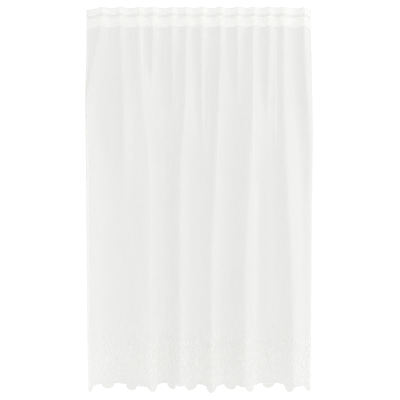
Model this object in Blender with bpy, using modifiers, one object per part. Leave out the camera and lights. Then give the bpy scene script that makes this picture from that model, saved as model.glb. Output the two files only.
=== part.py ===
"""A lace curtain that hangs from its gathered head, in the folds that its cloth falls into.

Metres, +Z up. The origin is the middle of the top edge, in the plane that the folds hang about.
+X runs along the width, and the front of the cloth faces -Y.
The cloth is cut flat first, with its scalloped hem, and is then hung. Each point keeps its place
across the cut width, and the folds decide where that place comes to hang.
"""

from collections import namedtuple

import bmesh
import bpy
import numpy as np

# The flat cloth
CUT_WIDTH = 1.832
FULL_DROP = 2.450
SINGLE_THICKNESS = 0.0012
DOUBLED_THICKNESS = 0.0022
HEAD_HEIGHT = 0.040
SIDE_HEM = 0.020
STITCH = 0.002

# The scalloped hem: round lobes, and arches between them that are edged with small scallops
REPEAT = 0.165
FIRST_LOBE = 0.001
LOBE_DROP = 0.037
LOBE_HALF_WIDTH = 0.043
SMALL_SCALLOPS = 5
SMALL_SCALLOP_DROP = 0.004

# The heading tape, sewn across the back below the head
TAPE_TOP = 0.062
TAPE_HEIGHT = 0.058
TAPE_THICKNESS = 0.001
TAPE_INSET = 0.004
CLEARANCE = 0.0003

# The mesh: where its rows lie below the top edge, and how finely each repeat is divided
ROW_DROPS = [0.30, 0.50, 0.70, 0.90, 1.15, 1.50, 1.90, 2.15, 2.34]
COLUMNS_PER_REPEAT = 12
HEM_CUTS = 2

# Where the two side edges hang, at some drops below the head
Edge = namedtuple("Edge", "drop left right")
EDGES = [
    Edge(drop=0.00, left=-0.732, right=0.733),
    Edge(drop=0.35, left=-0.729, right=0.742),
    Edge(drop=0.90, left=-0.717, right=0.739),
    Edge(drop=1.50, left=-0.709, right=0.732),
    Edge(drop=2.00, left=-0.706, right=0.727),
    Edge(drop=2.45, left=-0.700, right=0.724),
]

# How far each side edge turns back at the head, over what width, and the drop by which it hangs straight
Return = namedtuple("Return", "side depth width gone_by")
RETURNS = [
    Return(side=-1, depth=0.045, width=0.045, gone_by=0.60),
    Return(side=1, depth=0.070, width=0.045, gone_by=0.95),
]

# Every pleat of the gathered head is one row. Its crest runs from head_x to hem_x, and moves there between
# the two drops of moves. A small pleat fades into its neighbours between the two drops of fade, and a main
# fold runs on to the hem. Its height is beside the tallest fold's, and left and right are the widths of its
# two flanks at the hem.
GATHER_FLANK = 0.021
Fold = namedtuple("Fold", "head_x hem_x moves fade height left right")
FOLDS = [
    Fold(-0.616, -0.711, (0.00, 0.60), None, 1.15, 0.045, 0.044),
    Fold(-0.500, -0.480, (0.10, 0.60), (0.75, 1.30), 0.35, 0.028, 0.030),
    Fold(-0.380, -0.310, (0.10, 1.20), None, 1.08, 0.125, 0.039),
    Fold(-0.290, -0.300, (0.10, 0.70), (0.30, 0.72), 0.25, 0.022, 0.022),
    Fold(-0.168, -0.162, (0.10, 0.80), (0.40, 0.85), 0.20, 0.022, 0.022),
    Fold(-0.078, -0.117, (0.45, 1.10), None, 0.95, 0.040, 0.060),
    Fold(0.021, 0.034, (0.40, 1.10), (0.60, 1.20), 0.20, 0.022, 0.022),
    Fold(0.138, 0.082, (0.20, 1.90), None, 1.05, 0.046, 0.046),
    Fold(0.250, 0.250, (0.00, 0.70), (0.30, 0.75), 0.20, 0.022, 0.022),
    Fold(0.350, 0.300, (0.30, 1.80), None, 1.15, 0.057, 0.056),
    Fold(0.450, 0.442, (0.00, 0.90), (0.45, 1.05), 0.20, 0.026, 0.026),
    Fold(0.540, 0.595, (0.40, 2.10), None, 1.10, 0.046, 0.060),
    Fold(0.676, 0.716, (0.10, 1.00), None, 0.55, 0.042, 0.030),
]

# How finely a fold line is drawn to measure it
FOLD_SAMPLES = 900
CURVE_SPACING = 0.025
MOST_DEPTH = 0.400
HALVINGS = 22

# Colours: red, green, blue
VOILE_COLOUR = (0.83, 0.84, 0.82)
TAPE_COLOUR = (0.88, 0.88, 0.87)


def ease(low, high, value):
    """0 below low and 1 above high, with a smooth change between them."""
    t = np.clip((value - low) / (high - low), 0.0, 1.0)
    return t * t * (3.0 - 2.0 * t)


def crest(distance, left, right):
    """The shape across one fold: 1 at its crest, falling off over a flank on each side."""
    flank = np.where(distance < 0.0, left, right)
    return 1.0 / np.cosh(np.clip(distance / flank, -20.0, 20.0))


def fold_line(drop, xs):
    """How far the cloth stands forward along xs, with the tallest fold as 1, and how far its edges turn back."""
    gathered = 1.0 - ease(0.0, 1.3, drop)
    forward = np.zeros_like(xs)
    for fold in FOLDS:
        x = fold.head_x + (fold.hem_x - fold.head_x) * ease(*fold.moves, drop)
        height = fold.height + (1.0 - fold.height) * gathered
        if fold.fade:
            height *= 1.0 - ease(*fold.fade, drop)
        left = fold.left + (GATHER_FLANK - fold.left) * gathered
        right = fold.right + (GATHER_FLANK - fold.right) * gathered
        forward += height * crest(xs - x, left, right)
    back = np.zeros_like(xs)
    for turn in RETURNS:
        edge = xs[0] if turn.side < 0 else xs[-1]
        back += turn.depth * (1.0 - ease(0.0, turn.gone_by, drop)) * np.exp(-np.abs(xs - edge) / turn.width)
    return forward, back


def hung_line(drop, places):
    """x and y of the given places across the cut width, at one drop. The folds are as deep as takes it all up."""
    drops = [edge.drop for edge in EDGES]
    left = np.interp(drop, drops, [edge.left for edge in EDGES])
    right = np.interp(drop, drops, [edge.right for edge in EDGES])
    xs = np.linspace(left, right, FOLD_SAMPLES)
    forward, back = fold_line(drop, xs)
    low, high = 0.0, MOST_DEPTH
    for _ in range(HALVINGS):
        depth = (low + high) / 2.0
        ys = back - depth * forward
        along = np.concatenate([[0.0], np.cumsum(np.hypot(np.diff(xs), np.diff(ys)))])
        low, high = (depth, high) if along[-1] < CUT_WIDTH else (low, depth)
    along *= CUT_WIDTH / along[-1]
    return np.interp(places, along, xs), np.interp(places, along, ys - ys.mean())


class HungCloth:
    """The surface that the cloth hangs in: a fold line every CURVE_SPACING down its drop."""

    def __init__(self, places):
        self.places = places
        self.drops = np.arange(0.0, FULL_DROP + CURVE_SPACING, CURVE_SPACING)
        lines = [hung_line(drop, places) for drop in self.drops]
        self.x = np.array([line[0] for line in lines])
        self.y = np.array([line[1] for line in lines])

    def point(self, place, drop):
        """Where a point of the flat cloth hangs."""
        row = min(int(drop / CURVE_SPACING), len(self.drops) - 2)
        share = drop / CURVE_SPACING - row
        x0, x1 = (np.interp(place, self.places, self.x[r]) for r in (row, row + 1))
        y0, y1 = (np.interp(place, self.places, self.y[r]) for r in (row, row + 1))
        return x0 + (x1 - x0) * share, y0 + (y1 - y0) * share, -drop


def hem_drop(place):
    """How far below the top edge the scalloped hem lies at a place across the cut width."""
    arch_drop = FULL_DROP - LOBE_DROP
    beside = abs((place - FIRST_LOBE + REPEAT / 2.0) % REPEAT - REPEAT / 2.0)
    if beside < LOBE_HALF_WIDTH:
        return arch_drop + LOBE_DROP * (1.0 - (beside / LOBE_HALF_WIDTH) ** 2) ** 0.5
    across_arch = (beside - LOBE_HALF_WIDTH) / (REPEAT - 2.0 * LOBE_HALF_WIDTH)
    return arch_drop + SMALL_SCALLOP_DROP * abs(np.sin(np.pi * SMALL_SCALLOPS * across_arch))


def column_places():
    """Where the mesh's columns lie across the cut width, with a pair at the stitching of each side hem."""
    step = REPEAT / COLUMNS_PER_REPEAT
    inner = np.arange(FIRST_LOBE, CUT_WIDTH - SIDE_HEM, step)
    inner = inner[(inner > SIDE_HEM + STITCH) & (inner < CUT_WIDTH - SIDE_HEM - STITCH)]
    left = [0.0, SIDE_HEM, SIDE_HEM + STITCH]
    right = [CUT_WIDTH - SIDE_HEM - STITCH, CUT_WIDTH - SIDE_HEM, CUT_WIDTH]
    return np.concatenate([left, inner, right])


def row_drops():
    """Where the mesh's rows lie below the top edge, with a pair at the head's stitching and the hem last."""
    tape_bottom = TAPE_TOP + TAPE_HEIGHT
    return [0.0, HEAD_HEIGHT, HEAD_HEIGHT + STITCH, TAPE_TOP, tape_bottom, *ROW_DROPS, FULL_DROP]


def flat_grid(columns, rows):
    """A flat mesh with its vertices at every column and row: x is the place, and y is minus the drop."""
    mesh = bmesh.new()
    bmesh.ops.create_grid(mesh, x_segments=len(columns) - 1, y_segments=len(rows) - 1, size=1.0)
    for vertex in mesh.verts:
        column = round((vertex.co.x + 1.0) / 2.0 * (len(columns) - 1))
        row = round((1.0 - vertex.co.y) / 2.0 * (len(rows) - 1))
        vertex.co = (columns[column], -rows[row], 0.0)
    return mesh


def shape_hem(mesh):
    """Cuts the lowest edges of the flat mesh finer and moves their points onto the scalloped hem."""
    last_row = -(ROW_DROPS[-1] + FULL_DROP) / 2.0
    lowest = [edge for edge in mesh.edges if all(v.co.y < last_row for v in edge.verts)]
    bmesh.ops.subdivide_edges(mesh, edges=lowest, cuts=HEM_CUTS)
    for vertex in mesh.verts:
        if vertex.co.y < last_row:
            vertex.co.y = -hem_drop(vertex.co.x)


def is_doubled(place, drop):
    """True where the cloth is turned over, up to the line where it is sewn: at the head and the side hems."""
    side = min(place, CUT_WIDTH - place)
    return drop < HEAD_HEIGHT + STITCH / 2.0 or side < SIDE_HEM + STITCH / 2.0


def make_material(name, colour, roughness):
    """A matt cloth material."""
    material = bpy.data.materials.new(name)
    material.use_nodes = True
    shader = material.node_tree.nodes["Principled BSDF"]
    shader.inputs["Base Color"].default_value = (*colour, 1.0)
    shader.inputs["Roughness"].default_value = roughness
    shader.inputs["Metallic"].default_value = 0.0
    return material


def add_object(name, mesh, cloth, material, collection):
    """Hangs a flat mesh in the cloth's folds, as an object that marks its doubled parts in a vertex group."""
    bmesh.ops.triangulate(mesh, faces=mesh.faces[:], quad_method="FIXED", ngon_method="EAR_CLIP")
    mesh.verts.index_update()
    doubled = [v.index for v in mesh.verts if is_doubled(v.co.x, -v.co.y)]
    for vertex in mesh.verts:
        vertex.co = cloth.point(vertex.co.x, -vertex.co.y)
    data = bpy.data.meshes.new(name)
    mesh.to_mesh(data)
    mesh.free()
    data.materials.append(material)
    data.shade_smooth()
    item = bpy.data.objects.new(name, data)
    item.vertex_groups.new(name="doubled").add(doubled, 1.0, "REPLACE")
    collection.objects.link(item)
    return item


def make_panel(cloth, collection):
    """The net itself, one piece with its turned head, side hems and scalloped hem."""
    mesh = flat_grid(column_places(), row_drops())
    shape_hem(mesh)
    panel = add_object("panel", mesh, cloth, make_material("voile", VOILE_COLOUR, 0.9), collection)
    thicken = panel.modifiers.new("thickness", "SOLIDIFY")
    thicken.thickness = DOUBLED_THICKNESS
    thicken.offset = 1.0
    thicken.use_even_offset = True
    thicken.vertex_group = "doubled"
    thicken.thickness_vertex_group = SINGLE_THICKNESS / DOUBLED_THICKNESS
    return panel


def make_tape(cloth, collection):
    """The heading tape, which follows every pleat just behind the cloth."""
    columns = column_places()
    columns[0] = TAPE_INSET
    columns[-1] = CUT_WIDTH - TAPE_INSET
    mesh = flat_grid(columns, [TAPE_TOP, TAPE_TOP + TAPE_HEIGHT])
    tape = add_object("heading_tape", mesh, cloth, make_material("tape", TAPE_COLOUR, 0.8), collection)
    thicken = tape.modifiers.new("thickness", "SOLIDIFY")
    thicken.thickness = TAPE_THICKNESS
    # Below -1 the strip begins that much further behind the cloth's back
    thicken.offset = -1.0 - 2.0 * CLEARANCE / TAPE_THICKNESS
    thicken.use_even_offset = True
    return tape


def main():
    for item in list(bpy.data.objects):
        bpy.data.objects.remove(item, do_unlink=True)
    collection = bpy.data.collections.new("lace_curtain")
    bpy.context.scene.collection.children.link(collection)
    cloth = HungCloth(column_places())
    make_panel(cloth, collection)
    make_tape(cloth, collection)


main()
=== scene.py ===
"""The looks of a white lace curtain: sheer voile in soft uneven folds, with an embroidered border.

Metres, +Z up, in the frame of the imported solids: the origin is the middle of the top edge, +X runs along
the width, and the front of the cloth faces -Y. A place is a point's distance across the cut width, and a
drop is its distance below the top edge. Every piece is drawn flat in those two, and then hung in the folds.
"""

import math
from collections import namedtuple

import bpy
import numpy as np
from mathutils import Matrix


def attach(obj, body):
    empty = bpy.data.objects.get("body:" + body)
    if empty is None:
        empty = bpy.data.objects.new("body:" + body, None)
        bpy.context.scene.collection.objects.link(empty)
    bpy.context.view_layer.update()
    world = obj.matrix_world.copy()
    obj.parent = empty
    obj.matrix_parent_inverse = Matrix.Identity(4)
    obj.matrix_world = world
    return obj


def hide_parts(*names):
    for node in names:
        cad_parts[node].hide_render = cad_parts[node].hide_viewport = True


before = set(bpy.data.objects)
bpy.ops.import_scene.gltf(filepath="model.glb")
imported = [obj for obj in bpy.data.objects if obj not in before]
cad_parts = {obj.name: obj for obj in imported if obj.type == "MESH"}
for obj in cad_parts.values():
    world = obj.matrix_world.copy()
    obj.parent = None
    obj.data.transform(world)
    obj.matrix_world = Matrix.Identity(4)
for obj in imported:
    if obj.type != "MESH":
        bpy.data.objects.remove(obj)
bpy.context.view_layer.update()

# The flat cloth, with the sizes of the part's source
CUT_WIDTH = 1.832
FULL_DROP = 2.450
HEAD_HEIGHT = 0.040
SIDE_HEM = 0.020
REPEAT = 0.165
FIRST_LOBE = 0.001
LOBE_DROP = 0.037
LOBE_HALF_WIDTH = 0.043
SMALL_SCALLOPS = 5
SMALL_SCALLOP_DROP = 0.004
ARCH_DROP = FULL_DROP - LOBE_DROP
TAPE_TOP = 0.062
TAPE_HEIGHT = 0.058
TAPE_INSET = 0.004

# How far apart the layers of turned cloth lie, and where the tape lies behind the cloth
LAYER = 0.00015
TAPE_BEHIND = 0.0004

# Where the two side edges hang, at some drops below the head
Edge = namedtuple("Edge", "drop left right")
EDGES = [
    Edge(drop=0.00, left=-0.732, right=0.733),
    Edge(drop=0.35, left=-0.729, right=0.742),
    Edge(drop=0.90, left=-0.717, right=0.739),
    Edge(drop=1.50, left=-0.709, right=0.732),
    Edge(drop=2.00, left=-0.706, right=0.727),
    Edge(drop=2.45, left=-0.700, right=0.724),
]

# How far each side edge turns back at the head, over what width, and the drop by which it hangs straight
Return = namedtuple("Return", "side depth width gone_by")
RETURNS = [
    Return(side=-1, depth=0.045, width=0.045, gone_by=0.60),
    Return(side=1, depth=0.070, width=0.045, gone_by=0.95),
]

# The pleats of the gathered head, as in the part's source: where each crest runs, the drops between which it
# moves there, the drops between which it fades, its height, and the widths of its flanks at the hem. At the
# head all pleats have the same height and flanks, and from one drop down each has its own. So many flanks
# away from its crest a pleat no longer counts
GATHER_FLANK = 0.021
GATHER_GONE_BY = 1.3
MOST_FLANKS = 20.0
Fold = namedtuple("Fold", "head_x hem_x moves fade height left right")
FOLDS = [
    Fold(-0.616, -0.711, (0.00, 0.60), None, 1.15, 0.045, 0.044),
    Fold(-0.500, -0.480, (0.10, 0.60), (0.75, 1.30), 0.35, 0.028, 0.030),
    Fold(-0.380, -0.310, (0.10, 1.20), None, 1.08, 0.125, 0.039),
    Fold(-0.290, -0.300, (0.10, 0.70), (0.30, 0.72), 0.25, 0.022, 0.022),
    Fold(-0.168, -0.162, (0.10, 0.80), (0.40, 0.85), 0.20, 0.022, 0.022),
    Fold(-0.078, -0.117, (0.45, 1.10), None, 0.95, 0.040, 0.060),
    Fold(0.021, 0.034, (0.40, 1.10), (0.60, 1.20), 0.20, 0.022, 0.022),
    Fold(0.138, 0.082, (0.20, 1.90), None, 1.05, 0.046, 0.046),
    Fold(0.250, 0.250, (0.00, 0.70), (0.30, 0.75), 0.20, 0.022, 0.022),
    Fold(0.350, 0.300, (0.30, 1.80), None, 1.15, 0.057, 0.056),
    Fold(0.450, 0.442, (0.00, 0.90), (0.45, 1.05), 0.20, 0.026, 0.026),
    Fold(0.540, 0.595, (0.40, 2.10), None, 1.10, 0.046, 0.060),
    Fold(0.676, 0.716, (0.10, 1.00), None, 0.55, 0.042, 0.030),
]

# Small creases that the solids leave out, each from its x at the top drop to its x at the bottom drop: a
# narrow wall that faces right, steep over the distance sharp, with the cloth pinched double along it over a
# width. A crease with no height is only pinched
CREASE_REACH = 0.030
CREASE_STARTS_OVER = 0.06
CREASE_ENDS_OVER = 0.30
Crease = namedtuple("Crease", "head_x foot_x top bottom height sharp pinch width")
CREASES = [
    Crease(-0.583, -0.590, 0.20, 0.60, 0.0030, 0.0100, 0.15, 0.0045),
    Crease(-0.368, -0.355, 0.11, 0.55, 0.0045, 0.0040, 0.70, 0.0055),
    Crease(-0.405, -0.400, 0.45, 0.85, 0.0015, 0.0030, 0.20, 0.0035),
    Crease(-0.252, -0.250, 0.20, 1.60, 0.0020, 0.0060, 0.10, 0.0045),
    Crease(-0.236, -0.240, 0.60, 2.60, 0.0000, 0.0040, 0.32, 0.0190),
    Crease(-0.078, -0.080, 0.20, 0.90, 0.0035, 0.0040, 0.40, 0.0045),
    Crease(0.024, 0.030, 0.11, 0.85, 0.0030, 0.0040, 0.45, 0.0045),
    Crease(0.130, 0.122, 0.40, 1.25, 0.0020, 0.0040, 0.25, 0.0045),
    Crease(0.160, 0.160, 0.11, 0.45, 0.0020, 0.0040, 0.40, 0.0045),
    Crease(0.256, 0.256, 0.11, 0.35, 0.0030, 0.0040, 0.50, 0.0045),
    Crease(0.350, 0.348, 0.11, 1.25, 0.0045, 0.0040, 0.80, 0.0045),
    Crease(0.363, 0.352, 1.10, 2.80, 0.0000, 0.0040, 0.30, 0.0220),
    Crease(0.462, 0.472, 0.60, 2.15, 0.0000, 0.0040, 0.20, 0.0380),
    Crease(0.493, 0.493, 0.11, 0.95, 0.0060, 0.0040, 1.00, 0.0045),
]

# The gathering stitches pinch each pleat double beside its crest
PLEAT_PINCH = 0.45
PLEAT_WIDTH = 0.018
PLEAT_GONE_BY = 0.32

# Slow unevenness of the hung cloth: waves across and down it, in half waves for each metre. They are whole
# from one drop down
Ripple = namedtuple("Ripple", "across down phase height")
RIPPLES = [
    Ripple(across=9.0, down=1.3, phase=0.4, height=0.0012),
    Ripple(across=-15.0, down=2.1, phase=2.0, height=0.0009),
    Ripple(across=27.0, down=3.7, phase=4.1, height=0.0005),
]
RIPPLES_WHOLE_FROM = 0.50

# The puckers that the gathering leaves below the tape. They begin over a short drop, die away over a reach,
# and stand closer and wider by turns, with a swing in radians and a rate in radians for each metre
PUCKER_PITCH = 0.019
PUCKER_HEIGHT = 0.0011
PUCKER_STARTS_OVER = 0.010
PUCKER_REACH = 0.10
PUCKER_SWING = 1.7
PUCKER_SWING_RATE = 11.0

# How finely the cloth is drawn: across it, and down it in three bands of rows
FOLD_SAMPLES = 1400
MOST_DEPTH = 0.400
HALVINGS = 22
COLUMNS_PER_REPEAT = 55
RowBand = namedtuple("RowBand", "top bottom step")
ROW_BANDS = [
    RowBand(top=0.00, bottom=0.20, step=0.008),
    RowBand(top=0.20, bottom=2.04, step=0.022),
    RowBand(top=2.04, bottom=FULL_DROP + 0.012, step=0.011),
]

# The photograph is 400 pixels square. The curtain's own plane shows at this many metres for each pixel. The
# sensor's width is in millimetres
PHOTO_SIDE = 400
METRES_PER_PIXEL = FULL_DROP / 383.0
PHOTO_MIDDLE_X = 199.0
PHOTO_TOP_Y = 7.5
CAMERA_DISTANCE = 4.5
SENSOR = 36.0


# The hung surface


def ease(low, high, value):
    """0 below low and 1 above high, with a smooth change between them."""
    t = np.clip((value - low) / (high - low), 0.0, 1.0)
    return t * t * (3.0 - 2.0 * t)


def crest(distance, left, right):
    """The shape across one fold: 1 at its crest, falling off over a flank on each side."""
    flank = np.where(distance < 0.0, left, right)
    return 1.0 / np.cosh(np.clip(distance / flank, -MOST_FLANKS, MOST_FLANKS))


def fold_line(drop, xs):
    """How far cloth stands forward along xs, beside the folds' depth, and how far its edges turn back."""
    gathered = 1.0 - ease(0.0, GATHER_GONE_BY, drop)
    forward = np.zeros_like(xs)
    for fold in FOLDS:
        x = fold.head_x + (fold.hem_x - fold.head_x) * ease(*fold.moves, drop)
        height = fold.height + (1.0 - fold.height) * gathered
        if fold.fade:
            height *= 1.0 - ease(*fold.fade, drop)
        left = fold.left + (GATHER_FLANK - fold.left) * gathered
        right = fold.right + (GATHER_FLANK - fold.right) * gathered
        forward += height * crest(xs - x, left, right)
    back = np.zeros_like(xs)
    for turn in RETURNS:
        edge = xs[0] if turn.side < 0 else xs[-1]
        back += turn.depth * (1.0 - ease(0.0, turn.gone_by, drop)) * np.exp(-np.abs(xs - edge) / turn.width)
    return forward, back


def small_shapes(drop, xs, along):
    """How far creases, ripples and puckers bring the cloth forward, and where it is pinched double."""
    forward = np.zeros_like(xs)
    pinched = np.zeros_like(xs)
    for crease in CREASES:
        moved = ease(crease.top, crease.bottom, drop)
        fade = ease(crease.top, crease.top + CREASE_STARTS_OVER, drop)
        fade *= 1.0 - ease(crease.bottom - CREASE_ENDS_OVER, crease.bottom, drop)
        beside = xs - crease.head_x - (crease.foot_x - crease.head_x) * moved
        wall = np.tanh(beside / crease.sharp) * np.exp(-np.abs(beside) / CREASE_REACH)
        forward -= crease.height * fade * wall
        pinched += crease.pinch * fade * np.exp(-(beside / crease.width) ** 2)
    pleated = 1.0 - ease(TAPE_TOP, PLEAT_GONE_BY, drop)
    for fold in FOLDS:
        beside = xs - fold.head_x - PLEAT_WIDTH
        pinched += PLEAT_PINCH * pleated * np.exp(-(beside / PLEAT_WIDTH) ** 2)
    rippled = ease(TAPE_TOP + TAPE_HEIGHT, RIPPLES_WHOLE_FROM, drop)
    for ripple in RIPPLES:
        half_waves = ripple.across * along + ripple.down * drop + ripple.phase
        forward += rippled * ripple.height * np.sin(math.pi * half_waves)
    below_tape = drop - TAPE_TOP - TAPE_HEIGHT
    if 0.0 < below_tape:
        height = PUCKER_HEIGHT * ease(0.0, PUCKER_STARTS_OVER, below_tape)
        height *= math.exp(-below_tape / PUCKER_REACH)
        swing = PUCKER_SWING * np.sin(PUCKER_SWING_RATE * along)
        forward += height * np.sin(2.0 * math.pi * along / PUCKER_PITCH + swing)
    return forward, pinched


def hung_line(drop, places):
    """x, y and the pinch of places across the cut width, at one drop. The folds take up the whole width."""
    drops = [edge.drop for edge in EDGES]
    left = np.interp(drop, drops, [edge.left for edge in EDGES])
    right = np.interp(drop, drops, [edge.right for edge in EDGES])
    xs = np.linspace(left, right, FOLD_SAMPLES)
    forward, back = fold_line(drop, xs)
    low, high = 0.0, MOST_DEPTH
    for _ in range(HALVINGS):
        depth = (low + high) / 2.0
        ys = back - depth * forward
        along = np.concatenate([[0.0], np.cumsum(np.hypot(np.diff(xs), np.diff(ys)))])
        low, high = (depth, high) if along[-1] < CUT_WIDTH else (low, depth)
    along *= CUT_WIDTH / along[-1]
    small, pinched = small_shapes(drop, xs, along)
    ys = ys - ys.mean() - small
    return [np.interp(places, along, values) for values in (xs, ys, pinched)]


class HungCloth:
    """The surface that the cloth hangs in, as a grid of points and of normals that face the front."""

    def __init__(self, places, drops):
        self.places = places
        self.drops = drops
        lines = [hung_line(drop, places) for drop in drops]
        xs, ys, pinched = (np.array(rows) for rows in zip(*lines))
        zs = np.broadcast_to(-drops[:, None], xs.shape)
        self.points = np.stack([xs, ys, zs], -1)
        self.pinched = pinched[..., None]
        across = np.gradient(self.points, axis=1)
        down = np.gradient(self.points, axis=0)
        normals = np.cross(down, across)
        self.normals = normals / np.linalg.norm(normals, axis=2, keepdims=True)

    def read(self, grid, place, drop):
        """What one of the cloth's grids holds at points of the flat cloth."""
        column = np.clip(np.searchsorted(self.places, place) - 1, 0, len(self.places) - 2)
        row = np.clip(np.searchsorted(self.drops, drop) - 1, 0, len(self.drops) - 2)
        s = ((place - self.places[column]) / (self.places[column + 1] - self.places[column]))[..., None]
        t = ((drop - self.drops[row]) / (self.drops[row + 1] - self.drops[row]))[..., None]
        upper = grid[row, column] * (1 - s) + grid[row, column + 1] * s
        lower = grid[row + 1, column] * (1 - s) + grid[row + 1, column + 1] * s
        return upper * (1 - t) + lower * t

    def hang(self, place, drop, forward):
        """Where points of the flat cloth hang, each raised forward from its surface."""
        normal = self.read(self.normals, place, drop)
        normal = normal / np.linalg.norm(normal, axis=-1, keepdims=True)
        return self.read(self.points, place, drop) + normal * forward[..., None]


def beside_lobe(place):
    """How far places across the cut width lie from the middle of the nearest lobe of the hem."""
    return np.abs((place - FIRST_LOBE + REPEAT / 2.0) % REPEAT - REPEAT / 2.0)


def hem_drop(place):
    """How far below the top edge the scalloped hem lies, at places across the cut width."""
    beside = beside_lobe(place)
    lobe = LOBE_DROP * np.sqrt(np.clip(1.0 - (beside / LOBE_HALF_WIDTH) ** 2, 0.0, 1.0))
    across_arch = (beside - LOBE_HALF_WIDTH) / (REPEAT - 2.0 * LOBE_HALF_WIDTH)
    small = SMALL_SCALLOP_DROP * np.abs(np.sin(np.pi * SMALL_SCALLOPS * across_arch))
    return ARCH_DROP + np.where(beside < LOBE_HALF_WIDTH, lobe, small)


def grid_faces(rows, columns, start=0):
    """The four-sided faces of a grid of points, numbered row by row from start, facing the front."""
    corner = start + np.arange(rows - 1)[:, None] * columns + np.arange(columns - 1)[None, :]
    faces = np.stack([corner, corner + columns, corner + columns + 1, corner + 1], axis=-1)
    return faces.reshape(-1, 4)


def make_mesh(name, points, faces, maps, material):
    """A smooth mesh object from arrays of points and faces, with each UV map given by its points' values."""
    mesh = bpy.data.meshes.new(name)
    mesh.from_pydata(points.tolist(), [], faces.tolist())
    corners = faces.reshape(-1)
    for map_name, values in maps.items():
        layer = mesh.uv_layers.new(name=map_name)
        layer.data.foreach_set("uv", values[corners].astype(np.float32).reshape(-1))
    mesh.materials.append(material)
    mesh.shade_smooth()
    item = bpy.data.objects.new(name, mesh)
    bpy.context.scene.collection.objects.link(item)
    return item


# Materials

# How many grains of a noise lie in a metre, across the cloth and down it
Grain = namedtuple("Grain", "across down")
NOISE_DETAIL = 2.0

# How high a relief of 1 stands, and how strongly it shows
Bump = namedtuple("Bump", "height strength")

# How rough a cloth is, and how much sheen its fuzz gives it
Finish = namedtuple("Finish", "roughness sheen")
SPECULAR = 0.25
SHEEN_ROUGHNESS = 0.5

# A band that is open on one side ends this far past the last value there
PAST_END = 0.1


def new_material(name):
    """An empty material, its node tree and its output."""
    material = bpy.data.materials.new(name)
    material.use_nodes = True
    tree = material.node_tree
    tree.nodes.clear()
    return material, tree, tree.nodes.new("ShaderNodeOutputMaterial")


def feed(tree, socket, value):
    """Gives a socket a number, or another node's output."""
    if isinstance(value, (int, float)):
        socket.default_value = value
    else:
        tree.links.new(value, socket)


def math_node(tree, operation, first, second=None, clamp=False):
    """A Math node's output. Each input is a number or another node's output."""
    node = tree.nodes.new("ShaderNodeMath")
    node.operation = operation
    node.use_clamp = clamp
    feed(tree, node.inputs[0], first)
    if second is not None:
        feed(tree, node.inputs[1], second)
    return node.outputs[0]


def weighted_sum(tree, parts):
    """The sum of some values, each given with its weight."""
    total = 0.0
    for value, weight in parts:
        total = math_node(tree, "ADD", total, math_node(tree, "MULTIPLY", value, weight))
    return total


def flat_place(tree, map_name):
    """The two values of a UV map, as outputs."""
    uv = tree.nodes.new("ShaderNodeUVMap")
    uv.uv_map = map_name
    separate = tree.nodes.new("ShaderNodeSeparateXYZ")
    tree.links.new(uv.outputs[0], separate.inputs[0])
    return separate.outputs[0], separate.outputs[1]


def scaled_place(tree, across, down, across_scale, down_scale):
    """A vector from two values, each multiplied by its own scale."""
    combine = tree.nodes.new("ShaderNodeCombineXYZ")
    tree.links.new(math_node(tree, "MULTIPLY", across, across_scale), combine.inputs[0])
    tree.links.new(math_node(tree, "MULTIPLY", down, down_scale), combine.inputs[1])
    return combine.outputs[0]


def soft_band(tree, value, low, high, blur):
    """1 between low and high, and 0 outside, with edges as soft as blur."""
    inside = []
    for edge, sign in ((low, 1.0), (high, -1.0)):
        ramp = tree.nodes.new("ShaderNodeMapRange")
        ramp.interpolation_type = "SMOOTHSTEP"
        ramp.inputs["From Min"].default_value = edge - sign * blur
        ramp.inputs["From Max"].default_value = edge + sign * blur
        tree.links.new(value, ramp.inputs["Value"])
        inside.append(ramp.outputs[0])
    return math_node(tree, "MULTIPLY", *inside)


def noise(tree, across, down, grain):
    """A noise value, from 0 to 1, whose grain has its own scale across and down."""
    texture = tree.nodes.new("ShaderNodeTexNoise")
    texture.inputs["Scale"].default_value = 1.0
    texture.inputs["Detail"].default_value = NOISE_DETAIL
    tree.links.new(scaled_place(tree, across, down, grain.across, grain.down), texture.inputs["Vector"])
    return texture.outputs[0]


def threads(tree, value, pitch):
    """A wave from -1 to 1 with the given pitch, in metres."""
    return math_node(tree, "SINE", math_node(tree, "MULTIPLY", value, 2.0 * math.pi / pitch))


def mix_colour(tree, share, first, second):
    """A colour between two others, by a share. Each is red, green and blue, or another node's output."""
    node = tree.nodes.new("ShaderNodeMix")
    node.data_type = "RGBA"
    tree.links.new(share, node.inputs["Factor"])
    for name, colour in (("A", first), ("B", second)):
        if isinstance(colour, tuple):
            node.inputs[name].default_value = (*colour, 1.0)
        else:
            tree.links.new(colour, node.inputs[name])
    return node.outputs["Result"]


def between(tree, share, first, second):
    """A number between two numbers, by a share."""
    node = tree.nodes.new("ShaderNodeMapRange")
    node.inputs["To Min"].default_value = first
    node.inputs["To Max"].default_value = second
    tree.links.new(share, node.inputs["Value"])
    return node.outputs[0]


def bump_normal(tree, relief, bump):
    """A normal from a relief, which stands as high and as strong as a bump says."""
    node = tree.nodes.new("ShaderNodeBump")
    node.inputs["Distance"].default_value = bump.height
    node.inputs["Strength"].default_value = bump.strength
    tree.links.new(relief, node.inputs["Height"])
    return node.outputs[0]


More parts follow.
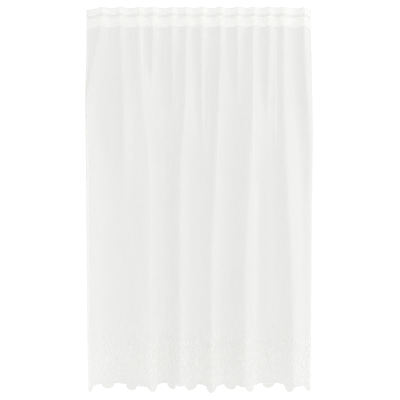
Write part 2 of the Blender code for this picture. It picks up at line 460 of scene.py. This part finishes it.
def cloth_shader(tree, colour, normal, through, finish):
    """Matt cloth that sends a share of the light on through itself."""
    front = tree.nodes.new("ShaderNodeBsdfPrincipled")
    front.inputs["Roughness"].default_value = finish.roughness
    front.inputs["Specular IOR Level"].default_value = SPECULAR
    front.inputs["Sheen Weight"].default_value = finish.sheen
    front.inputs["Sheen Roughness"].default_value = SHEEN_ROUGHNESS
    behind = tree.nodes.new("ShaderNodeBsdfTranslucent")
    mix = tree.nodes.new("ShaderNodeMixShader")
    feed(tree, mix.inputs[0], through)
    tree.links.new(colour, front.inputs["Base Color"])
    tree.links.new(colour, behind.inputs["Color"])
    tree.links.new(normal, front.inputs["Normal"])
    tree.links.new(normal, behind.inputs["Normal"])
    tree.links.new(front.outputs[0], mix.inputs[1])
    tree.links.new(behind.outputs[0], mix.inputs[2])
    return mix.outputs[0]


def sheer_shader(tree, cloth, share):
    """Cloth with the given share of its area open between the threads."""
    clear = tree.nodes.new("ShaderNodeBsdfTransparent")
    mix = tree.nodes.new("ShaderNodeMixShader")
    tree.links.new(share, mix.inputs[0])
    tree.links.new(cloth, mix.inputs[1])
    tree.links.new(clear.outputs[0], mix.inputs[2])
    return mix.outputs[0]


# The voile. Its colours, and the shares of the light that pass between its threads and through them, each
# lie between the value for single cloth and the value for dense cloth
VOILE_DARK = (0.766, 0.770, 0.752)
VOILE_LIGHT = (0.816, 0.820, 0.804)
DENSE_DARK = (0.957, 0.957, 0.950)
DENSE_LIGHT = (0.985, 0.985, 0.979)
SHEER_SHARE = 0.16
SHEER_DENSE = 0.02
THROUGH_SHARE = 0.38
THROUGH_DENSE = 0.66
VOILE_FINISH = Finish(roughness=0.8, sheen=0.15)
VOILE_BUMP = Bump(height=0.00012, strength=0.6)

# The weave, its slubs and its cloudiness: how fine they are, and how much each counts in the colour's shade
# and in the relief
THREAD_PITCH = 0.0009
WARP_SLUB = Grain(across=420.0, down=6.0)
WEFT_SLUB = Grain(across=9.0, down=380.0)
CLOUD = Grain(across=7.0, down=4.0)
WARP_SHADE = 0.55
WEFT_SHADE = 0.25
CLOUD_SHADE = 0.20
WEAVE_SHADE = 0.10
WEAVE_RELIEF = 0.6
SLUB_RELIEF = 1.2

# How dense the voile shows where it is turned over or pinched double. Before the tape it is wholly dense.
# The right side hem shows denser than the left: that extra is painted light, lightening the hem on the side
# the light comes from
BAND_BLUR = 0.0014
SIDE_BLUR = 0.0008
HEAD_DENSE = 0.88
LEFT_DENSE = 0.75
# The right hem is the same double cloth as the left; its larger share is painted light on the lit side
RIGHT_DENSE_AND_PAINTED_LIGHT = 1.0
PINCH_DENSE = 0.6

# The ground of the border is worked in small cells of thread, this wide and this tall, between two drops.
# The thread and its blur are shares of a cell
CELL_WIDTH = 0.0135
CELL_HEIGHT = 0.0200
CELL_THREAD = 0.13
CELL_BLUR = 0.06
LACE_TOP = 2.185
LACE_BOTTOM = 2.400
LACE_BLUR = 0.035
LACE_DENSE = 0.13


def lace_ground(tree, across, down):
    """1 on the threads between the cells of the border's ground, and 0 within them and outside its drops."""
    cells = tree.nodes.new("ShaderNodeTexVoronoi")
    cells.feature = "DISTANCE_TO_EDGE"
    cells.inputs["Scale"].default_value = 1.0
    place = scaled_place(tree, across, down, 1.0 / CELL_WIDTH, 1.0 / CELL_HEIGHT)
    tree.links.new(place, cells.inputs["Vector"])
    thread = soft_band(tree, cells.outputs["Distance"], -PAST_END, CELL_THREAD, CELL_BLUR)
    border = soft_band(tree, down, LACE_TOP, LACE_BOTTOM, LACE_BLUR)
    return math_node(tree, "MULTIPLY", thread, border)


def voile_density(tree, across, down):
    """How dense the voile shows: 0 where it hangs single, and more where thread or cloth lies over it. The
    right side hem's extra density over the left is painted light.
    """
    head = soft_band(tree, down, -PAST_END, HEAD_HEIGHT + BAND_BLUR, BAND_BLUR)
    tape = soft_band(tree, down, TAPE_TOP - BAND_BLUR, TAPE_TOP + TAPE_HEIGHT + BAND_BLUR, BAND_BLUR)
    left = soft_band(tree, across, -PAST_END, SIDE_HEM, SIDE_BLUR)
    right = soft_band(tree, across, CUT_WIDTH - SIDE_HEM, CUT_WIDTH + PAST_END, SIDE_BLUR)
    pinched = flat_place(tree, "pinch")[0]
    lace = lace_ground(tree, across, down)
    dense = math_node(tree, "MAXIMUM", math_node(tree, "MULTIPLY", head, HEAD_DENSE), tape)
    # The right hem's larger share adds painted light to that side
    for hem, share in ((left, LEFT_DENSE), (right, RIGHT_DENSE_AND_PAINTED_LIGHT)):
        dense = math_node(tree, "ADD", dense, math_node(tree, "MULTIPLY", hem, share), clamp=True)
    for cover, share in ((pinched, PINCH_DENSE), (lace, LACE_DENSE)):
        dense = math_node(tree, "MAXIMUM", dense, math_node(tree, "MULTIPLY", cover, share))
    return dense


def voile_material():
    """Sheer plain-woven voile, with slubs, denser where it is turned over, pinched or backed by the tape,
    and with painted light on the right side hem.
    """
    material, tree, output = new_material("voile")
    across, down = flat_place(tree, "flat")
    warp = threads(tree, across, THREAD_PITCH)
    weft = threads(tree, down, THREAD_PITCH)
    weave = math_node(tree, "MULTIPLY", warp, weft)
    warp_slub = noise(tree, across, down, WARP_SLUB)
    weft_slub = noise(tree, across, down, WEFT_SLUB)
    cloud = noise(tree, across, down, CLOUD)
    shades = [(warp_slub, WARP_SHADE), (weft_slub, WEFT_SHADE), (cloud, CLOUD_SHADE), (weave, WEAVE_SHADE)]
    shade = weighted_sum(tree, shades)
    dense = voile_density(tree, across, down)
    single_colour = mix_colour(tree, shade, VOILE_DARK, VOILE_LIGHT)
    dense_colour = mix_colour(tree, shade, DENSE_DARK, DENSE_LIGHT)
    colour = mix_colour(tree, dense, single_colour, dense_colour)
    relief = weighted_sum(tree, [(weave, WEAVE_RELIEF), (warp_slub, SLUB_RELIEF)])
    normal = bump_normal(tree, relief, VOILE_BUMP)
    through = between(tree, dense, THROUGH_SHARE, THROUGH_DENSE)
    cloth = cloth_shader(tree, colour, normal, through, VOILE_FINISH)
    cloth = sheer_shader(tree, cloth, between(tree, dense, SHEER_SHARE, SHEER_DENSE))
    tree.links.new(cloth, output.inputs["Surface"])
    return material


# The embroidery thread. Its map runs along each stroke and from side to side of it
THREAD_DARK = (0.950, 0.950, 0.942)
THREAD_LIGHT = (0.980, 0.980, 0.974)
THREAD_THROUGH = 0.42
THREAD_FINISH = Finish(roughness=0.5, sheen=0.3)
THREAD_BUMP = Bump(height=0.00006, strength=0.5)
THREAD_GRAIN = Grain(across=700.0, down=3.0)
STRAND_PITCH = 0.0011
STRAND_SHADE = 0.2


def embroidery_material():
    """White thread with a soft sheen, in satin stitch: fine threads that lie across each stroke."""
    material, tree, output = new_material("embroidery")
    along, side = flat_place(tree, "thread")
    strands = threads(tree, along, STRAND_PITCH)
    grain = noise(tree, along, side, THREAD_GRAIN)
    shade = weighted_sum(tree, [(strands, STRAND_SHADE), (grain, 1.0)])
    colour = mix_colour(tree, shade, THREAD_DARK, THREAD_LIGHT)
    normal = bump_normal(tree, math_node(tree, "ADD", strands, grain), THREAD_BUMP)
    cloth = cloth_shader(tree, colour, normal, THREAD_THROUGH, THREAD_FINISH)
    tree.links.new(cloth, output.inputs["Surface"])
    return material


# The tape's cloth, with its ribs and its twill
TAPE_DARK = (0.945, 0.947, 0.935)
TAPE_LIGHT = (0.975, 0.977, 0.965)
TAPE_THROUGH = 0.70
TAPE_FINISH = Finish(roughness=0.75, sheen=0.1)
TAPE_BUMP = Bump(height=0.0002, strength=0.8)
TAPE_GRAIN = Grain(across=60.0, down=500.0)
RIB_PITCH = 0.0016
TWILL_PITCH = 0.0012
TWILL_SHADE = 0.15
TWILL_RELIEF = 0.5


def tape_material():
    """A firm white woven tape: ribs along it, with a fine twill across them."""
    material, tree, output = new_material("tape")
    across, down = flat_place(tree, "flat")
    ribs = threads(tree, down, RIB_PITCH)
    twill = threads(tree, math_node(tree, "ADD", across, down), TWILL_PITCH)
    grain = noise(tree, across, down, TAPE_GRAIN)
    shade = weighted_sum(tree, [(twill, TWILL_SHADE), (grain, 1.0)])
    colour = mix_colour(tree, shade, TAPE_DARK, TAPE_LIGHT)
    relief = weighted_sum(tree, [(ribs, 1.0), (twill, TWILL_RELIEF)])
    normal = bump_normal(tree, relief, TAPE_BUMP)
    cloth = cloth_shader(tree, colour, normal, TAPE_THROUGH, TAPE_FINISH)
    tree.links.new(cloth, output.inputs["Surface"])
    return material


# The cloth and the tape

# Turned cloth bends round within this distance of its fold, in steps of these angles
TURN_REACH = 2.0 * LAYER
TURN_ANGLES = (60, 30, 0, -30, -60)

# The head's turned layer lies this many layers back, clear of the side hems, which are turned over with it
HEAD_LAYERS = 3.0

# The last level row lies at least this far above the arches, and the rows below it follow the hem by shares
HEM_CLEARANCE = 0.012
HEM_ROWS = (0.35, 0.7, 1.0)

# The tape's mesh, its selvedges and its pockets. A pocket fills the part of each pitch in which a sine wave
# lies above a level
TAPE_STEP = 0.0026
TAPE_ROWS = 25
SELVEDGE_INSET = 0.0020
SELVEDGE_WIDTH = 0.0014
SELVEDGE_HEIGHT = 0.0005
POCKET_MIDDLES = (0.014, 0.029, 0.044)
POCKET_HALF_HEIGHT = 0.0045
POCKET_SQUARENESS = 6
POCKET_PITCH = 0.0235
POCKET_LEVEL = -0.1
POCKET_HEIGHT = 0.0009


def column_places():
    """Where the cloth's columns lie across the cut width."""
    return np.linspace(0.0, CUT_WIDTH, int(CUT_WIDTH / REPEAT * COLUMNS_PER_REPEAT) + 1)


def row_drops():
    """Where the cloth's rows lie below the top edge, closer at the head and in the border."""
    return np.concatenate([np.arange(band.top, band.bottom, band.step) for band in ROW_BANDS])


def turned(width):
    """A turned hem in section, from its inner edge to the front: distance from the fold, and layers back."""
    section = [(width, 1.0), (width * 0.5, 1.0), (TURN_REACH, 1.0)]
    for angle in TURN_ANGLES:
        turn = math.radians(angle)
        section.append((LAYER / 2.0 * (1.0 - math.cos(turn)), (1.0 + math.sin(turn)) / 2.0))
    return section


def make_cloth(cloth):
    """The voile, turned over and sewn down at its head and sides, and cut in scallops at the hem."""
    left = turned(SIDE_HEM)
    inner = cloth.places[(cloth.places > TURN_REACH) & (cloth.places < CUT_WIDTH - TURN_REACH)]
    right = [(CUT_WIDTH - distance, layers) for distance, layers in reversed(left)]
    place, side_layers = np.array(left + [(middle, 0.0) for middle in inner] + right).T
    side_back = side_layers * LAYER
    level = cloth.drops[(cloth.drops > TURN_REACH) & (cloth.drops < ARCH_DROP - HEM_CLEARANCE)]
    hem = hem_drop(place)
    places, drops, forwards = [], [], []
    for drop, turn in turned(HEAD_HEIGHT) + [(row, 0.0) for row in level]:
        places.append(place)
        drops.append(np.full_like(place, drop))
        forwards.append(-(side_back * (1.0 - turn) + (HEAD_LAYERS * LAYER - side_back) * turn))
    for share in HEM_ROWS:
        places.append(place)
        drops.append(level[-1] + (hem - level[-1]) * share)
        forwards.append(-side_back)
    places, drops, forwards = np.array(places), np.array(drops), np.array(forwards)
    points = cloth.hang(places, drops, forwards).reshape(-1, 3)
    flat = np.stack([places, drops], -1).reshape(-1, 2)
    pinch = np.repeat(cloth.read(cloth.pinched, places, drops).reshape(-1, 1), 2, axis=1)
    maps = {"flat": flat, "pinch": np.clip(pinch, 0.0, 1.0)}
    return make_mesh("voile_panel", points, grid_faces(*places.shape), maps, voile_material())


def make_tape(cloth):
    """The woven heading tape, with two raised selvedges and rows of woven pockets that face the back."""
    across = np.arange(TAPE_INSET, CUT_WIDTH - TAPE_INSET, TAPE_STEP)
    down = np.linspace(0.0, TAPE_HEIGHT, TAPE_ROWS)
    place, below = np.meshgrid(across, down)
    from_edge = np.minimum(below, TAPE_HEIGHT - below)
    selvedge = np.exp(-((from_edge - SELVEDGE_INSET) / SELVEDGE_WIDTH) ** 2)
    pockets = np.zeros_like(place)
    for middle in POCKET_MIDDLES:
        pockets += np.exp(-((below - middle) / POCKET_HALF_HEIGHT) ** POCKET_SQUARENESS)
    pockets = np.clip(pockets, 0.0, 1.0) * (np.sin(2.0 * math.pi * place / POCKET_PITCH) > POCKET_LEVEL)
    back = TAPE_BEHIND + SELVEDGE_HEIGHT * selvedge + POCKET_HEIGHT * pockets
    points = cloth.hang(place, TAPE_TOP + below, -back).reshape(-1, 3)
    flat = np.stack([place, below], -1).reshape(-1, 2)
    return make_mesh("woven_heading_tape", points, grid_faces(*place.shape), {"flat": flat}, tape_material())


# Embroidery and sewing

# A stroke of thread stands this high, with its two edges sunk this far into the cloth, and none comes nearer
# than this to the side edges. The least length keeps a direction with none from a division by zero
STROKE_HEIGHT = 0.0003
STROKE_SUNK = 0.00012
STROKE_CLEARANCE = 0.0006
LEAST_LENGTH = 1e-9


def smooth_path(points, count):
    """Points along a smooth curve that passes through the given points."""
    points = np.asarray(points, dtype=float)
    padded = np.vstack([2 * points[0] - points[1], points, 2 * points[-1] - points[-2]])
    at = np.linspace(0.0, len(points) - 1, count)
    piece = np.clip(at.astype(int), 0, len(points) - 2)
    t = (at - piece)[:, None]
    p0, p1, p2, p3 = (padded[piece + k] for k in range(4))
    return 0.5 * (
        2 * p1
        + (p2 - p0) * t
        + (2 * p0 - 5 * p1 + 4 * p2 - p3) * t ** 2
        + (3 * p1 - p0 - 3 * p2 + p3) * t ** 3
    )


class Needlework:
    """Collects raised strokes of thread, drawn on the flat cloth, into one mesh."""

    def __init__(self, height, sunk):
        self.height = height
        self.sunk = sunk
        self.flat, self.forward, self.thread, self.faces = [], [], [], []
        self.count = 0

    def stroke(self, path, widths, ribs=3):
        """A stroke of thread along a path: ribs points across it, rounded, and sunk at its two edges."""
        path = np.asarray(path)
        tangent = np.gradient(path, axis=0)
        tangent /= np.maximum(np.linalg.norm(tangent, axis=1, keepdims=True), LEAST_LENGTH)
        normal = np.stack([-tangent[:, 1], tangent[:, 0]], 1)
        side = np.linspace(-1.0, 1.0, ribs)
        widths = np.broadcast_to(widths, len(path))
        flat = path[:, None, :] + normal[:, None, :] * (side[None, :, None] * widths[:, None, None] / 2.0)
        rounded = np.sqrt(np.clip(1.0 - side ** 2, 0.0, 1.0))
        rise = rounded[None, :] * np.minimum(self.height, widths / 2.0)[:, None]
        along = np.concatenate([[0.0], np.cumsum(np.linalg.norm(np.diff(path, axis=0), axis=1))])
        thread = np.stack(np.broadcast_arrays(along[:, None], side[None, :]), -1)
        self.flat.append(flat.reshape(-1, 2))
        self.forward.append((rise - self.sunk).reshape(-1))
        self.thread.append(thread.reshape(-1, 2))
        self.faces.append(grid_faces(len(path), ribs, self.count))
        self.count += len(path) * ribs

    def finish(self, name, cloth, material):
        """Hangs everything that was drawn, where it lies on the cloth."""
        flat = np.concatenate(self.flat)
        forward = np.concatenate(self.forward)
        faces = np.concatenate(self.faces)
        inside = (flat[:, 0] > STROKE_CLEARANCE) & (flat[:, 0] < CUT_WIDTH - STROKE_CLEARANCE)
        faces = faces[inside[faces].all(axis=1)]
        used = np.unique(faces)
        order = np.zeros(len(flat), dtype=int)
        order[used] = np.arange(len(used))
        points = cloth.hang(flat[used, 0], flat[used, 1], forward[used])
        maps = {"flat": flat[used], "thread": np.concatenate(self.thread)[used]}
        return make_mesh(name, points, order[faces], maps, material)


# How wide the embroidered leaves, stems, petals and seeds are. A shorter leaf than a long one is thinner
LEAF_WIDTH = 0.0050
LONG_LEAF = 0.044
SPRAY_WIDTH = 0.0066
STEM_WIDTH = 0.0028
CURL_WIDTH = 0.0022
PETAL_WIDTH = 0.0040
SEED_WIDTH = 0.0052
TIP_WIDTH = 0.0006

# A stem's width along its length, beside its widest, and the powers that place a leaf's widest part nearer
# its foot and make it fuller than a sine wave
STEM_TAPER = [(0.0, 0.4), (0.40, 1.0), (0.85, 1.0), (1.0, 0.3)]
LEAF_LEAD = 0.8
LEAF_FULLNESS = 0.75

# How many points a stroke has along it, and the least that the square of a seed's width comes to at an end
STEM_POINTS = 22
LONG_STEM_POINTS = 28
LEAF_POINTS = 11
SEED_POINTS = 7
SEED_END = 0.02


class Repeat:
    """Draws in one repeat of the border: across from its middle, and up from the arches of the hem."""

    def __init__(self, work, middle):
        self.work = work
        self.middle = middle

    def on_cloth(self, points):
        """Points of the repeat, as places and drops of the flat cloth."""
        across, up = np.array(points, dtype=float).T
        return np.stack([self.middle + across, ARCH_DROP - up], 1)

    def stem(self, points, width, count=STEM_POINTS):
        """A thin stroke that tapers at both ends."""
        shares, tapers = zip(*STEM_TAPER)
        taper = np.interp(np.linspace(0.0, 1.0, count), shares, tapers)
        self.work.stroke(smooth_path(self.on_cloth(points), count), width * taper)

    def leaf(self, points, width):
        """A stroke that swells to its width and ends in a point."""
        path = smooth_path(self.on_cloth(points), LEAF_POINTS)
        along = np.linspace(0.0, 1.0, LEAF_POINTS)
        shape = np.sin(np.pi * along ** LEAF_LEAD) ** LEAF_FULLNESS
        self.work.stroke(path, TIP_WIDTH + width * shape, ribs=5)

    def seed(self, x, y):
        """A round dot."""
        along = np.linspace(-1.0, 1.0, SEED_POINTS)
        path = self.on_cloth([(x, y + SEED_WIDTH / 2.0 * share) for share in along])
        shape = np.sqrt(np.clip(1.0 - along ** 2, SEED_END, 1.0))
        self.work.stroke(path, SEED_WIDTH * shape, ribs=5)


# The bloom: the directions of its petals and how far the whole bloom leans, in degrees. A petal is shorter
# by a share for each degree that it spreads, and bows outwards. Its three points and its seed lie at shares
# of its length
BLOOM_X = -0.030
BLOOM_Y = 0.250
BLOOM_SIZE = 0.066
BLOOM_LEAN = -10.0
PETAL_ANGLES = (-28.0, -17.0, -6.0, 6.0, 17.0, 28.0)
PETAL_SHORTENING = 0.0050
PETAL_BOW = 0.24
PETAL_START = 0.20
PETAL_BELLY = 0.58
PETAL_TIP = 0.94
PETAL_SEED = 1.10

# In every second repeat the bloom and the spray stand a little higher, and in the others a little lower
TALL_LIFT = 0.012
LOW_LIFT = -0.010
SPRAY_TOP = 0.352

# Slender stems: three that lean into the neighbouring repeats, and two curls
CURLS = [
    [(0.052, 0.100), (0.062, 0.130), (0.074, 0.170), (0.086, 0.215)],
    [(-0.056, 0.096), (-0.064, 0.130), (-0.068, 0.165), (-0.070, 0.205)],
    [(0.066, 0.105), (0.056, 0.140), (0.050, 0.180), (0.054, 0.232)],
    [(0.060, 0.196), (0.070, 0.222), (0.058, 0.238), (0.046, 0.226), (0.052, 0.214)],
    [(-0.062, 0.196), (-0.074, 0.220), (-0.064, 0.240), (-0.052, 0.230)],
]

# Leaves along the stems, smaller towards the hem: the place of each foot, its lean to the right and its
# length. A leaf's middle and tip lie across from its foot by shares of the lean
Leaf = namedtuple("Leaf", "x y lean length")
LEAVES = [
    Leaf(0.052, 0.046, 0.030, 0.028),
    Leaf(0.030, 0.084, -0.040, 0.036),
    Leaf(0.008, 0.132, 0.048, 0.044),
    Leaf(-0.012, 0.176, -0.040, 0.050),
    Leaf(-0.024, 0.214, 0.034, 0.042),
    Leaf(-0.044, 0.056, -0.028, 0.028),
    Leaf(-0.030, 0.090, 0.040, 0.036),
    Leaf(-0.004, 0.146, -0.034, 0.044),
    Leaf(0.012, 0.190, 0.036, 0.040),
    Leaf(0.052, 0.120, 0.034, 0.040),
    Leaf(0.066, 0.164, -0.030, 0.044),
    Leaf(-0.058, 0.126, 0.026, 0.040),
    Leaf(-0.064, 0.168, -0.028, 0.040),
    Leaf(0.074, 0.088, -0.030, 0.030),
    Leaf(-0.072, 0.084, 0.026, 0.030),
    Leaf(0.000, 0.040, 0.020, 0.026),
    Leaf(0.022, 0.028, -0.020, 0.024),
    Leaf(-0.022, 0.024, 0.016, 0.024),
    Leaf(0.000, 0.084, -0.020, 0.028),
    Leaf(-0.064, 0.030, 0.018, 0.026),
]
LEAN_AT_MIDDLE = 0.30
LEAN_AT_TIP = 0.42

# Seeds: four beside the bloom and the spray, and three near the hem
SEEDS = [(0.000, 0.236), (0.010, 0.250), (0.062, 0.252), (-0.070, 0.256), (0.036, 0.040), (-0.024, 0.044),
         (-0.080, 0.036)]

# The two strokes along the hem, and how far inside the side edges they end. The stitched edge lies a little
# above the cut edge. The line lies above the arches, and comes down into every lobe in a wave
HEM_STEP = 0.0019
HEM_INSET = 0.0010
EDGE_ABOVE = 0.0012
EDGE_WIDTH = 0.0014
LINE_ABOVE_ARCH = 0.009
LINE_WAVE = 0.019
LINE_WIDTH = 0.0016


def draw_bloom(repeat, x, y):
    """A rounded flower that leans: a fan of slender petals that bow outwards, with a seed at each tip."""
    for spread in PETAL_ANGLES:
        angle = math.radians(spread + BLOOM_LEAN)
        length = BLOOM_SIZE * (1.0 - PETAL_SHORTENING * abs(spread))
        across, up = length * math.sin(angle), length * math.cos(angle)
        bow = PETAL_BOW * BLOOM_SIZE * math.sin(math.radians(spread))
        start = (x + PETAL_START * across, y + PETAL_START * up)
        belly = (x + PETAL_BELLY * across + bow, y + PETAL_BELLY * up)
        tip = (x + PETAL_TIP * across + bow, y + PETAL_TIP * up)
        repeat.leaf([start, belly, tip], PETAL_WIDTH)
        repeat.seed(x + PETAL_SEED * across + bow, y + PETAL_SEED * up)


def draw_spray(repeat, top):
    """The tall slender spray: a stem with one long leaf, and a shorter one on each side."""
    stem = [(-0.014, 0.116), (0.002, 0.160), (0.016, 0.215), (0.024, top - 0.070)]
    repeat.stem(stem, STEM_WIDTH, LONG_STEM_POINTS)
    repeat.leaf([(0.024, top - 0.085), (0.030, top - 0.035), (0.026, top + 0.012)], SPRAY_WIDTH)
    repeat.leaf([(0.022, top - 0.100), (0.040, top - 0.075), (0.046, top - 0.038)], LEAF_WIDTH)
    repeat.leaf([(0.020, top - 0.105), (0.006, top - 0.085), (0.004, top - 0.052)], LEAF_WIDTH)


def draw_repeat(repeat, lift):
    """One repeat: a bloom on its stem, a tall spray beside it, and slender stems, leaves and seeds below."""
    bloom = (BLOOM_X, BLOOM_Y + lift)
    draw_bloom(repeat, *bloom)
    repeat.stem([(0.044, 0.072), (0.020, 0.110), (-0.014, 0.180), bloom], STEM_WIDTH, LONG_STEM_POINTS)
    draw_spray(repeat, SPRAY_TOP + lift)
    for points in CURLS:
        repeat.stem(points, CURL_WIDTH)
    for leaf in LEAVES:
        foot = (leaf.x, leaf.y)
        middle = (leaf.x + leaf.lean * LEAN_AT_MIDDLE, leaf.y + leaf.length / 2.0)
        tip = (leaf.x + leaf.lean * LEAN_AT_TIP, leaf.y + leaf.length)
        repeat.leaf([foot, middle, tip], LEAF_WIDTH * leaf.length / LONG_LEAF)
    for x, y in SEEDS:
        repeat.seed(x, y)


def draw_hem(work):
    """The stitched edge of the scallops, and a line above it that follows the lobes."""
    place = np.arange(HEM_INSET, CUT_WIDTH - HEM_INSET, HEM_STEP)
    edge = np.stack([place, hem_drop(place) - EDGE_ABOVE], 1)
    work.stroke(edge, EDGE_WIDTH)
    wave = 0.5 + 0.5 * np.cos(2.0 * math.pi * beside_lobe(place) / REPEAT)
    line = np.stack([place, ARCH_DROP - LINE_ABOVE_ARCH + LINE_WAVE * wave], 1)
    work.stroke(line[::2], LINE_WIDTH)


def draw_border(cloth):
    """The whole embroidered border, one mesh. Its repeats run past both side edges and are cut off there."""
    work = Needlework(STROKE_HEIGHT, STROKE_SUNK)
    for index in range(-1, int(CUT_WIDTH / REPEAT) + 2):
        repeat = Repeat(work, FIRST_LOBE + index * REPEAT)
        draw_repeat(repeat, TALL_LIFT if index % 2 == 0 else LOW_LIFT)
    draw_hem(work)
    return work.finish("embroidered_border", cloth, embroidery_material())


# Machine stitches, how far each seam lies inside the edge that it sews down, and how far from the side edges
# and the arches the seams end. The lowest seam across the cloth lies below the tape, at a drop of its own
STITCH_LENGTH = 0.0030
STITCH_PITCH = 0.0042
STITCH_WIDTHS = (0.0005, 0.0008, 0.0005)
STITCH_HEIGHT = 0.0005
STITCH_SUNK = 0.0001
SEAM_INSET = 0.0020
SIDE_SEAM_INSET = 0.0015
SEAM_END = 0.0030
SEAM_ABOVE_ARCH = 0.0060
LOWEST_SEAM = 0.150


def sew_line(work, start, stop):
    """A row of machine stitches along a straight line on the flat cloth."""
    start, stop = np.array(start), np.array(stop)
    length = np.linalg.norm(stop - start)
    step = (stop - start) / length
    for begin in np.arange(0.0, length - STITCH_LENGTH, STITCH_PITCH):
        path = start + step * np.linspace(begin, begin + STITCH_LENGTH, len(STITCH_WIDTHS))[:, None]
        work.stroke(path, STITCH_WIDTHS)


def sew_seams(cloth, material):
    """The machine stitching that shows on the front: at the head, at the tape, below it and at the sides."""
    work = Needlework(STITCH_HEIGHT, STITCH_SUNK)
    tape_seams = (TAPE_TOP + SEAM_INSET, TAPE_TOP + TAPE_HEIGHT - SEAM_INSET)
    for drop in (HEAD_HEIGHT - SEAM_INSET, *tape_seams, LOWEST_SEAM):
        sew_line(work, (SEAM_END, drop), (CUT_WIDTH - SEAM_END, drop))
    for place in (SIDE_HEM - SIDE_SEAM_INSET, CUT_WIDTH - SIDE_HEM + SIDE_SEAM_INSET):
        sew_line(work, (place, HEAD_HEIGHT), (place, ARCH_DROP - SEAM_ABOVE_ARCH))
    return work.finish("seam_stitching", cloth, material)


# The stage: a pale floor, soft light and the photograph's camera

FLOOR_SIZE = 9.0
FLOOR_BELOW_HEM = 0.15
FLOOR_SHADE = 0.92
FLOOR_ROUGHNESS = 0.8
FLOOR_GLOW = 0.15

# How bright the white surroundings are as light, and as the camera sees them, and the soft light from the
# right, which looks at the middle of the curtain
LIGHT_LEVEL = 0.977
LIGHT_COLOUR = (1.0, 1.0, 0.995, 1.0)
SEEN_LEVEL = 1.05
WHITE = (1.0, 1.0, 1.0, 1.0)
KEY_PLACE = (6.9, -3.0, -0.45)
KEY_SIZE = 3.3
KEY_POWER = 83.0


def make_floor():
    """A plain pale floor, a little below the hem."""
    bpy.ops.mesh.primitive_plane_add(size=FLOOR_SIZE, location=(0.0, 0.0, -FULL_DROP - FLOOR_BELOW_HEM))
    floor = bpy.context.object
    floor.name = "floor"
    material = bpy.data.materials.new("floor")
    material.use_nodes = True
    shader = material.node_tree.nodes["Principled BSDF"]
    shader.inputs["Base Color"].default_value = (FLOOR_SHADE, FLOOR_SHADE, FLOOR_SHADE, 1.0)
    shader.inputs["Roughness"].default_value = FLOOR_ROUGHNESS
    shader.inputs["Emission Color"].default_value = WHITE
    shader.inputs["Emission Strength"].default_value = FLOOR_GLOW
    floor.data.materials.append(material)


def area_light(name, location, target, size, power):
    """A square soft light that looks at a target, and that the camera doesn't see."""
    light = bpy.data.lights.new(name, "AREA")
    light.shape = "SQUARE"
    light.size = size
    light.energy = power
    item = bpy.data.objects.new(name, light)
    item.location = location
    x, y, z = np.array(target) - np.array(location)
    item.rotation_euler = (math.atan2(math.hypot(x, y), -z), 0.0, math.atan2(-x, y))
    item.visible_camera = False
    bpy.context.scene.collection.objects.link(item)


def background(tree, colour, strength):
    """An even background's output."""
    node = tree.nodes.new("ShaderNodeBackground")
    node.inputs["Color"].default_value = colour
    node.inputs["Strength"].default_value = strength
    return node.outputs[0]


def light_scene():
    """White surroundings, and a large soft light from the right."""
    world = bpy.data.worlds.new("surroundings")
    bpy.context.scene.world = world
    world.use_nodes = True
    tree = world.node_tree
    path = tree.nodes.new("ShaderNodeLightPath")
    mix = tree.nodes.new("ShaderNodeMixShader")
    tree.links.new(path.outputs["Is Camera Ray"], mix.inputs[0])
    tree.links.new(background(tree, LIGHT_COLOUR, LIGHT_LEVEL), mix.inputs[1])
    tree.links.new(background(tree, WHITE, SEEN_LEVEL), mix.inputs[2])
    tree.links.new(mix.outputs[0], tree.nodes["World Output"].inputs["Surface"])
    area_light("key", KEY_PLACE, (0.0, 0.0, -FULL_DROP / 2.0), KEY_SIZE, KEY_POWER)


def set_camera():
    """The photograph's view: straight on, at the middle of the curtain's height."""
    data = bpy.data.cameras.new("camera")
    data.sensor_width = SENSOR
    data.lens = SENSOR * CAMERA_DISTANCE / (PHOTO_SIDE * METRES_PER_PIXEL)
    camera = bpy.data.objects.new("camera", data)
    x = (PHOTO_SIDE / 2.0 - PHOTO_MIDDLE_X) * METRES_PER_PIXEL
    z = -(PHOTO_SIDE / 2.0 - PHOTO_TOP_Y) * METRES_PER_PIXEL
    camera.location = (x, -CAMERA_DISTANCE, z)
    camera.rotation_euler = (math.pi / 2.0, 0.0, 0.0)
    bpy.context.scene.collection.objects.link(camera)
    bpy.context.scene.camera = camera
    bpy.context.scene.view_settings.view_transform = "Standard"


def dress():
    """Makes the pieces, attaches them to the root body, and hides the imported parts that they stand in for.
    """
    cloth = HungCloth(column_places(), row_drops())
    panel = make_cloth(cloth)
    tape = make_tape(cloth)
    border = draw_border(cloth)
    seams = sew_seams(cloth, border.data.materials[0])
    for piece in (panel, tape, border, seams):
        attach(piece, "root")
    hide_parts("panel")
    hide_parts("heading_tape")


set_camera()
light_scene()
make_floor()
dress()
bpy.context.view_layer.update()
